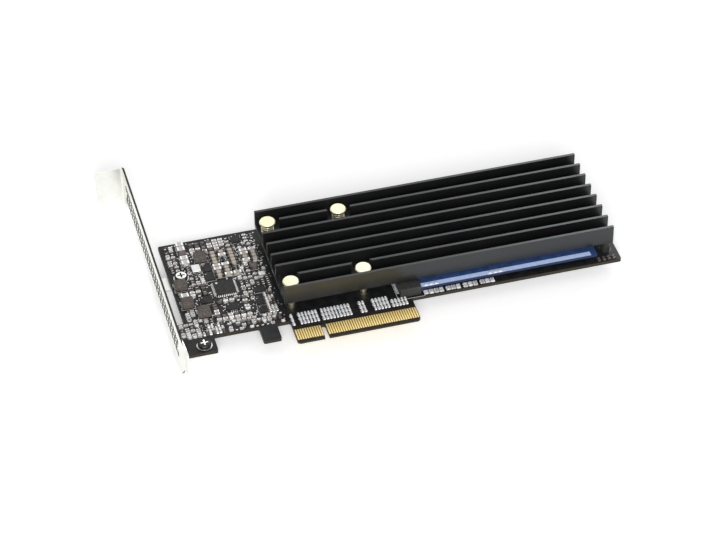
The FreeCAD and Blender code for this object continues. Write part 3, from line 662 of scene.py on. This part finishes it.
def add_chip(mesh, low, high, body, solder, flipped=False):
    """Body, two end caps and solder fillets; a black body is a resistor's film on alumina."""
    length, width, out = local_box(low, high, lies_turned(low, high))
    height = high.z - low.z
    cap = length * cap_share
    body_end = length / 2 - cap / 2
    body_side = width / 2 - body_inset
    if body == black:
        film_end = length / 2 - cap
        film_side = width / 2 - 4 * body_inset
        film_low = height * resistor_body_share
        box_between(mesh, out, (-body_end, -body_side, 0.0), (body_end, body_side, film_low),
                    white)
        box_between(mesh, out, (-film_end, -film_side, film_low),
                    (film_end, film_side, height * resistor_film_share), black)
    else:
        box_between(mesh, out, (-body_end, -body_side, 0.0),
                    (body_end, body_side, height - body_inset), body, body_bevel)
    foot = height if flipped else 0.0
    rise = -height if flipped else height
    for side in (-1, 1):
        box_between(mesh, out, (side * length / 2, -width / 2 - cap_proud, 0.0),
                    (side * (length / 2 - cap), width / 2 + cap_proud, height), solder, cap_bevel)
        outline = [out(side * (length / 2 + fillet_reach * along), -width / 2, foot + rise * up)
                   for along, up in fillet_profile]
        across = out(0.0, width / 2, 0.0) - out(0.0, -width / 2, 0.0)
        add_prism(mesh, outline, across, solder)


def tone(low, high):
    """Lightness of a chip, near -1 to 1: it changes slowly over the board, rises towards the
    contacts and has a step of the chip's own."""
    centre = (low + high) / 2
    slow = noise.noise(Vector((centre.x, centre.y, patch_slice)) / patch_size)
    own = noise.cell(Vector((low.x, low.y, high.z)) / cell_size) - 0.5
    return slow + own + min(most_lift, max(0.0, lift_per_metre * (lift_below - centre.y)))


def dress_chips():
    """Dark, middling and light chips; what stands under the modules' front edge, and the coupling
    capacitors, get light bodies and pale frosted solder as painted light against the shade of the
    modules and the heatsink wall.
    """
    groups = (("small_resistors", "resistor_black", (black,), (black, grey, rose, rose),
               (white, grey, rose)),
              ("far_end_resistors", "resistor_black", (brown,), (brown,), (brown,)),
              ("small_capacitors", "capacitor_grey", (brown,), (grey, rose), (white, grey)),
              # Coupling capacitors in the heatsink wall's shade are all light: painted light
              ("coupling_capacitors", "capacitor_grey", (white,), (white,), (white,)),
              ("medium_capacitors", "capacitor_grey", (brown, black), (grey, rose),
               (white, grey)),
              ("large_capacitors", "capacitor_ceramic", (tan,), (tan, grey), (grey,)),
              ("bulk_capacitors", "capacitor_grey", (brown,), (grey,), (grey,)),
              ("module_passives", "capacitor_ceramic", (white,), (white,), (white,)))
    module_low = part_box("module_board_lower")[0]
    for node, slot, dark_bodies, middle_bodies, light_bodies in groups:
        mesh = bmesh.new()
        for low, high in islands(node):
            level = tone(low, high)
            # Chips under the modules' front edge get light bodies and frosted solder: painted
            # light in the module's shade
            under_module_lit = low.x > module_low.x and high.y < module_low.y + module_row_reach
            if under_module_lit or level > light_level:
                bodies, solder = light_bodies, bright
            elif level < dark_level:
                bodies, solder = dark_bodies, dull
            else:
                bodies, solder = middle_bodies, bright
            if node == "far_end_resistors":
                solder = dull
            elif node == "coupling_capacitors" or under_module_lit:
                solder = frosted_and_lit
            add_chip(mesh, low, high, dice.choice(bodies), solder)
        piece(node + "_dressed", mesh, chip_palette, [node])
    mesh = bmesh.new()
    for low, high in islands("back_capacitors"):
        add_chip(mesh, low, high, dice.choice((tan, grey)), bright, True)
    piece("back_capacitors_dressed", mesh, chip_palette,
          ["back_capacitors"])


# Moulded packages

def add_package(mesh, low, high, pads_x, pads_y):
    """Moulded body over a row of small pads on its sides, with a pin-one dimple."""
    add_box(mesh, low + Vector((0.0, 0.0, package_stand)), high, 0, package_bevel)
    size = high - low
    for count, axis in ((pads_x, 0), (pads_y, 1)):
        for n in range(count):
            shift = (n - (count - 1) / 2) * size[axis] / (count + 1)
            for corner in (low, high):
                centre = (low + high) / 2
                centre[axis] += shift
                centre[1 - axis] = corner[1 - axis]
                half = Vector((pad_half_width, pad_half_width, 0.0))
                half[1 - axis] = pad_half_reach
                start = Vector((centre.x - half.x, centre.y - half.y, low.z))
                end = Vector((centre.x + half.x, centre.y + half.y, low.z + pad_height))
                add_box(mesh, start, end, 1)
    dimple = Vector((low.x + size.x * dimple_inset_share, high.y - size.y * dimple_inset_share,
                     high.z))
    add_disc(mesh, dimple, min(size.x, size.y) * dimple_radius_share, dimple_height, 2)


def dress_packages():
    palette = ("black_package", "tin", "print_white")
    for node, pads_x, pads_y in (("power_stages", 5, 6), ("power_controller", 6, 5),
                                 ("clock_chip", 6, 5), ("level_shifters", 4, 5),
                                 ("microcontroller", 0, 0), ("flash_chip", 0, 0)):
        mesh = bmesh.new()
        for low, high in islands(node):
            add_package(mesh, low, high, pads_x, pads_y)
        piece(node + "_dressed", mesh, palette, [node])


def dress_leads():
    """Each lead runs from a foot on the board up into the side of its package."""
    foot_inner, foot_outer, knee = 0.4, 0.52, 0.28
    bodies = islands("microcontroller") + islands("flash_chip")
    mesh = bmesh.new()
    for low, high in islands("chip_leads"):
        centre = (low + high) / 2
        body = min(bodies, key=lambda pair: ((pair[0] + pair[1]) / 2 - centre).length)
        middle = (body[0] + body[1]) / 2
        along_x = high.x - low.x > high.y - low.y
        outward = math.copysign(1.0, (centre - middle)[0 if along_x else 1])
        length = max(high.x - low.x, high.y - low.y)
        width = min(high.x - low.x, high.y - low.y)
        thick, top = high.z - low.z, body[1].z * 0.5
        profile = ((length, 0.0), (length * foot_inner, 0.0), (length * knee, top),
                   (-thick, top), (-thick, top + thick), (length * foot_inner, top + thick),
                   (length * foot_outer, thick), (length, thick))
        outline = []
        for distance, up in profile:
            reach = outward * distance
            if along_x:
                start = low.x if outward > 0 else high.x
                outline.append(Vector((start + reach, centre.y - width / 2, up)))
            else:
                start = low.y if outward > 0 else high.y
                outline.append(Vector((centre.x - width / 2, start + reach, up)))
        across = Vector((0.0, width, 0.0)) if along_x else Vector((width, 0.0, 0.0))
        add_prism(mesh, outline, across)
    piece("chip_leads_dressed", mesh, ("tin",), ["chip_leads"])


def dress_regulators():
    """Three-legged regulators: a bevelled body and short bent legs."""
    leg_half, leg_thickness, leg_rise = 0.2 * MM, 0.16 * MM, 0.12 * MM
    leg_from_middle, leg_in_body, leg_top_share = 0.33, 0.9, 0.5
    body_stand, body_margin, bevel = 0.1 * MM, 0.25 * MM, 0.12 * MM
    mesh = bmesh.new()
    for low, high in islands("small_regulators"):
        length, width, out = local_box(low, high, lies_turned(low, high))
        height = high.z - low.z
        body_half = width / 2 - body_margin
        box_between(mesh, out, (-length / 2, -body_half, body_stand),
                    (length / 2, body_half, height), 0, bevel)
        for along, side in ((-length * leg_from_middle, -1), (length * leg_from_middle, -1),
                            (0.0, 1)):
            start = (along - leg_half, side * body_half * leg_in_body, 0.0)
            box_between(mesh, out, start, (along + leg_half, side * width / 2, leg_thickness), 1)
            box_between(mesh, out, start, (along + leg_half, side * (body_half + leg_rise),
                                           height * leg_top_share), 1)
    piece("small_regulators_dressed", mesh, ("black_package", "tin"),
          ["small_regulators"])


def dress_inductors():
    """Pressed powder block with a bevelled top and a folded terminal at each end."""
    block_inset, block_stand, bevel = 0.1 * MM, 0.08 * MM, 0.3 * MM
    terminal_share, terminal_rise = 0.32, 0.45
    fold, fold_bevel, under, under_height = 0.2 * MM, 0.04 * MM, 1.1 * MM, 0.12 * MM
    mesh = bmesh.new()
    for low, high in islands("power_inductors"):
        length, width, out = local_box(low, high)
        height = high.z - low.z
        half = width * terminal_share
        box_between(mesh, out, (-length / 2 + block_inset, -width / 2, block_stand),
                    (length / 2 - block_inset, width / 2, height), 0, bevel)
        for side in (-1, 1):
            box_between(mesh, out, (side * (length / 2 - fold), -half, 0.0),
                        (side * length / 2, half, height * terminal_rise), 1, fold_bevel)
            box_between(mesh, out, (side * (length / 2 - under), -half, 0.0),
                        (side * length / 2, half, under_height), 1)
    piece("power_inductors_dressed", mesh, ("inductor_grey", "tin"),
          ["power_inductors"])


def dress_cans():
    """Metal lids on a dark ceramic base, for the crystal and the oscillator."""
    base_share, base_bevel = 0.45, 0.04 * MM
    lid_overlap, lid_bevel = 0.05 * MM, 0.12 * MM
    inset = Vector((0.2 * MM, 0.2 * MM, 0.0))
    for node in ("crystal", "oscillator"):
        mesh = bmesh.new()
        for low, high in islands(node):
            base_top = Vector((high.x, high.y, low.z + (high.z - low.z) * base_share))
            add_box(mesh, low, base_top, 1, base_bevel)
            lid_low = Vector((low.x, low.y, base_top.z - lid_overlap)) + inset
            add_box(mesh, lid_low, high - inset, 0, lid_bevel)
        piece(node + "_dressed", mesh, ("can_metal", "black_package"), [node])


def dress_leds():
    """White body with a yellow window and a metal end on each side; sizes in shares of it."""
    body_end, bevel = 0.32, 0.05 * MM
    window_end, window_side, window_low = 0.2, 0.3, 0.9
    metal_start, metal_side, metal_rise = 0.3, 0.45, 0.3
    mesh = bmesh.new()
    for low, high in islands("status_leds"):
        length, width, out = local_box(low, high)
        height = high.z - low.z
        box_between(mesh, out, (-length * body_end, -width / 2, 0.0),
                    (length * body_end, width / 2, height), 0, bevel)
        box_between(mesh, out, (-length * window_end, -width * window_side, height * window_low),
                    (length * window_end, width * window_side, height), 1)
        for side in (-1, 1):
            box_between(mesh, out, (side * length * metal_start, -width * metal_side, 0.0),
                        (side * length / 2, width * metal_side, height * metal_rise), 2)
    piece("status_leds_dressed", mesh, ("led_white", "phosphor", "tin"),
          ["status_leds"])


# Springs under the pin heads

def dress_springs():
    """Round-wire coils with closed ends, where the coarse coils of the frame are."""
    mesh = bmesh.new()
    steps = int(spring_turns * spring_steps_per_turn)
    round_wire = [2 * math.pi * side / spring_sides for side in range(spring_sides)]
    for low, high in islands("pin_springs"):
        centre = (low + high) / 2
        radius = (high.x - low.x) / 2 - spring_wire
        rise = high.z - low.z - 2 * spring_wire
        loops = []
        for step in range(steps + 1):
            share = step / steps
            angle = 2 * math.pi * spring_turns * share
            eased = share - math.sin(2 * math.pi * share) / (2 * math.pi) * spring_end_ease
            outward = Vector((math.cos(angle), math.sin(angle), 0.0))
            middle = Vector((centre.x, centre.y, low.z + spring_wire + rise * eased))
            middle += outward * radius
            loops.append([mesh.verts.new(middle + outward * spring_wire * math.cos(turn)
                                         + Vector((0.0, 0.0, spring_wire * math.sin(turn))))
                          for turn in round_wire])
        for step in range(steps):
            for side in range(spring_sides):
                other = (side + 1) % spring_sides
                mesh.faces.new((loops[step][side], loops[step][other],
                                loops[step + 1][other], loops[step + 1][side])).smooth = True
        mesh.faces.new(loops[0][::-1])
        mesh.faces.new(loops[-1])
    piece("pin_springs_dressed", mesh, ("spring_steel",), ["pin_springs"])


# Print, tracks, rings and solder on the board

def outline_print(mesh, low, high, margin, gap_share=0.0):
    """Rectangle of printed lines round a part, open in the middle of its sides if asked."""
    x0, x1 = low.x - margin, high.x + margin
    y0, y1 = low.y - margin, high.y + margin
    half = print_width / 2
    for y in (y0, y1):
        add_box(mesh, Vector((x0 - half, y - half, 0.0)),
                Vector((x1 + half, y + half, print_height)))
    cut = (y1 - y0) * gap_share / 2
    middle = (y0 + y1) / 2
    spans = ((y0, middle - cut), (middle + cut, y1)) if gap_share else ((y0, y1),)
    for x in (x0, x1):
        for start, end in spans:
            add_box(mesh, Vector((x - half, start, 0.0)), Vector((x + half, end, print_height)))


def make_print():
    """Broken outlines round the larger parts and a line on each side of the lighter chips."""
    mesh = bmesh.new()
    for node in ("power_inductors", "power_stages", "power_controller", "microcontroller",
                 "flash_chip", "clock_chip", "level_shifters", "oscillator", "crystal",
                 "small_regulators", "bulk_capacitors", "large_capacitors"):
        for low, high in islands(node):
            outline_print(mesh, low, high, print_margin, print_gap_share)
    chips = [pair for node in ("coupling_capacitors", "medium_capacitors", "small_capacitors",
                               "small_resistors") for pair in islands(node)]
    for low, high in chips:
        if tone(low, high) < dark_level:
            continue
        length, width, out = local_box(low, high, lies_turned(low, high))
        half = length * chip_print_share
        for side in (-1, 1):
            across = side * (width / 2 + chip_print_margin)
            box_between(mesh, out, (-half, across - print_width / 2, 0.0),
                        (half, across + print_width / 2, print_height))
    outline_print(mesh, *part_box("module_socket_lower"), socket_print_margin)
    piece("board_print", mesh, ("print_white",))


def make_tracks():
    """Copper tracks under the mask: stubs above the contacts and bundles on the back."""
    mesh = bmesh.new()
    back_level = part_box("circuit_board")[0].z - track_height
    for low, high in islands("edge_contacts_front"):
        middle = (low.x + high.x) / 2
        points = [(middle, high.y - contact_overlap), (middle, high.y + stub_length)]
        add_ribbon(mesh, points, stub_width, 0.0)
    switch_low, switch_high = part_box("switch_substrate")
    switch_size = switch_high - switch_low
    back = islands("edge_contacts_back")
    for n, (low, high) in enumerate(back):
        start = (low.x + high.x) / 2
        end = switch_low.x + switch_size.x * (n + 0.5) / len(back)
        shift = abs(start - end)
        bend = high.y + first_bend + (len(back) - n) * bend_step
        points = [(start, high.y - contact_overlap), (start, bend),
                  (end, bend + shift * bend_slope), (end, switch_low.y + under_switch)]
        add_ribbon(mesh, points, track_width, back_level)
    for socket in module_sockets:
        low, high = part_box(socket)
        for n in range(bundle_tracks):
            share = (n + 0.5) / bundle_tracks
            inner_share = bundle_margin_share + (1 - 2 * bundle_margin_share) * share
            y_start = switch_low.y + switch_size.y * inner_share
            y_end = low.y + (high.y - low.y) * inner_share
            x_bend = switch_high.x + bundle_first_bend + bundle_bend_step * n
            reach = abs(y_end - y_start) * bundle_slope
            points = [(switch_high.x - bundle_under_switch, y_start), (x_bend, y_start),
                      (x_bend + reach, y_end), (low.x - bundle_end_gap, y_end)]
            if points[2][0] < points[3][0]:
                add_ribbon(mesh, points, track_width, back_level)
    piece("masked_tracks", mesh, ("masked_copper",))


def make_rings():
    """Plated rings round the through holes, on both faces of the board."""
    mesh = bmesh.new()
    back_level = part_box("circuit_board")[0].z - track_height
    for node, hole, ring, front in ring_places:
        for low, high in islands(node):
            centre = (low + high) / 2
            add_ring(mesh, Vector((centre.x, centre.y, 0.0)), hole, ring, front)
            add_ring(mesh, Vector((centre.x, centre.y, back_level)), hole, ring)
    piece("plated_rings", mesh, ("tin", "dull_solder"))


def clear_of(x, y, boxes, margin):
    """True where a point keeps a margin from every box."""
    return all(not (low.x - margin < x < high.x + margin and low.y - margin < y < high.y + margin)
               for low, high in boxes)


def ordered_vias(left, right, bottom, top):
    """Places along three edges of the board, under the power parts and beside the sockets."""
    wanted = []
    for y in (bottom, top):
        wanted += [(left + edge_via_pitch * n, y)
                   for n in range(int((right - left) / edge_via_pitch) + 1)]
    wanted += [(right, bottom + edge_via_pitch * n)
               for n in range(int((top - bottom) / edge_via_pitch) + 1)]
    for low, high in islands("power_inductors") + islands("power_stages"):
        centre = (low + high) / 2
        wanted += [(centre.x + power_via_pitch * column, centre.y + power_via_pitch * row)
                   for column in (-1, 0, 1) for row in (-1, 0, 1)]
    for node in module_sockets:
        low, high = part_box(node)
        wanted += [(x, low.y + socket_via_pitch * n)
                   for x in (low.x - socket_via_before, high.x + socket_via_behind)
                   for n in range(1, int((high.y - low.y) / socket_via_pitch))]
    return wanted


def make_vias():
    """Plated vias: in order and singly on the solder side, and between the parts in front."""
    mesh = bmesh.new()
    board_low, board_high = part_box("circuit_board")
    left, right = board_low.x + via_from_left, board_high.x - via_from_edge
    bottom, top = lowest_via_y, board_high.y - via_from_edge
    taken = [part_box(node) for node in ("edge_contacts_back", "back_capacitors")]
    taken += [pair for node in ("push_pins", "heatsink_screws", "bracket_screws")
              for pair in islands(node)]
    wanted = ordered_vias(left, right, bottom, top)
    wanted += [(dice.uniform(left, right), dice.uniform(bottom, top))
               for n in range(back_via_tries)]
    places = []
    for x, y in wanted:
        apart = all(abs(x - u) + abs(y - v) > via_spacing for u, v in places)
        if apart and clear_of(x, y, taken, back_via_clearance):
            places.append((x, y))
            add_ring(mesh, Vector((x, y, board_low.z - track_height)), via_hole,
                     back_via_radius, 0, via_sides)
    front = [pair for entry in frame["record"]["subparts"] if entry["node"] not in large_nodes
             for pair in islands(entry["node"])]
    sink_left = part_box("heatsink")[0].x
    for n in range(front_via_tries):
        x, y = dice.uniform(left, sink_left), dice.uniform(bottom, top)
        if clear_of(x, y, front, front_via_clearance):
            place = Vector((x, y, 0.0))
            add_ring(mesh, place, via_hole, front_via_radius, 0, via_sides)
            front.append((place, place))
    piece("vias", mesh, ("tin",))


def dress_tails():
    """Solder round the tails of the module sockets."""
    mesh = bmesh.new()
    side = Vector((0.0, tail_solder_width, 0.0))
    for low, high in islands("socket_tails"):
        top = Vector((high.x, high.y, high.z * tail_solder_share))
        add_box(mesh, low - side, top + side, 0, tail_solder_bevel)
    piece("tail_solder", mesh, ("tin",))


def make_module_highlights():
    """Pale stripe along the front edge of each module: a painted highlight for the lit margin of
    the board.
    """
    mesh = bmesh.new()
    for node in ("module_board_lower", "module_board_upper"):
        low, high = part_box(node)
        add_box(mesh, Vector((low.x + highlight_from_socket, low.y + highlight_low, high.z)),
                Vector((high.x - highlight_from_end, low.y + highlight_high, high.z + print_height)))
    piece("module_painted_highlights", mesh, ("pale_blue_highlight",))


# Finish of the nodes that stay

def finish_nodes():
    """Gives each CAD node the material of its slot in the record."""
    for entry in frame["record"]["subparts"]:
        node = frame["nodes"][entry["node"]]
        node.data.materials.clear()
        node.data.materials.append(materials[entry["material_slot"]])


# Stage, lights and camera

def make_stage():
    """Floor under the card's lowest point; it isn't part of the card."""
    mesh = bmesh.new()
    half = floor_size / 2
    verts = [mesh.verts.new((x, y, cad_low.z)) for x, y in
             ((-half, -half), (half, -half), (half, half), (-half, half))]
    mesh.faces.new(verts)
    data = bpy.data.meshes.new("floor")
    mesh.to_mesh(data)
    mesh.free()
    data.materials.append(floor_material())
    place_object("floor", data)


def make_world():
    """White to the camera and in reflections, and a plain fill on everything else."""
    world = bpy.data.worlds.new("studio")
    world.use_nodes = True
    background = world.node_tree.nodes["Background"]
    background.inputs["Color"].default_value = (1.0, 1.0, 1.0, 1.0)
    join(world, spread(world, seen_directly(world), world_strength, 1.0),
         background.inputs["Strength"])
    bpy.context.scene.world = world


def add_area(name, from_card, size, power):
    """Round lamp that looks at the middle of the card."""
    light = bpy.data.lights.new(name, "AREA")
    light.shape = "DISK"
    light.size = size
    light.energy = power
    lamp = place_object(name, light)
    lamp.location = (cad_low + cad_high) / 2 + from_card
    lamp.rotation_euler = (-from_card).to_track_quat("-Z", "Y").to_euler()


def make_camera():
    """Camera at the place that a perspective fit of the photograph gave."""
    data = bpy.data.cameras.new("camera")
    data.lens = camera_lens
    data.sensor_width = camera_sensor
    data.clip_start = camera_near
    camera = place_object("camera", data)
    turn = camera_direction.to_track_quat("-Z", "Y").to_matrix()
    roll = Matrix.Rotation(math.radians(camera_roll), 3, "Z")
    camera.matrix_world = Matrix.Translation(camera_place) @ (turn @ roll).to_4x4()
    bpy.context.scene.camera = camera


make_materials()
finish_nodes()
dress_chips()
dress_packages()
dress_leads()
dress_regulators()
dress_inductors()
dress_cans()
dress_leds()
dress_springs()
make_print()
make_tracks()
make_rings()
make_vias()
dress_tails()
make_module_highlights()
make_stage()
make_world()
add_area("key", key_from_card, key_size, key_power)
add_area("rim", rim_from_card, rim_size, rim_power)
make_camera()
bpy.context.scene.view_settings.view_transform = "Standard"
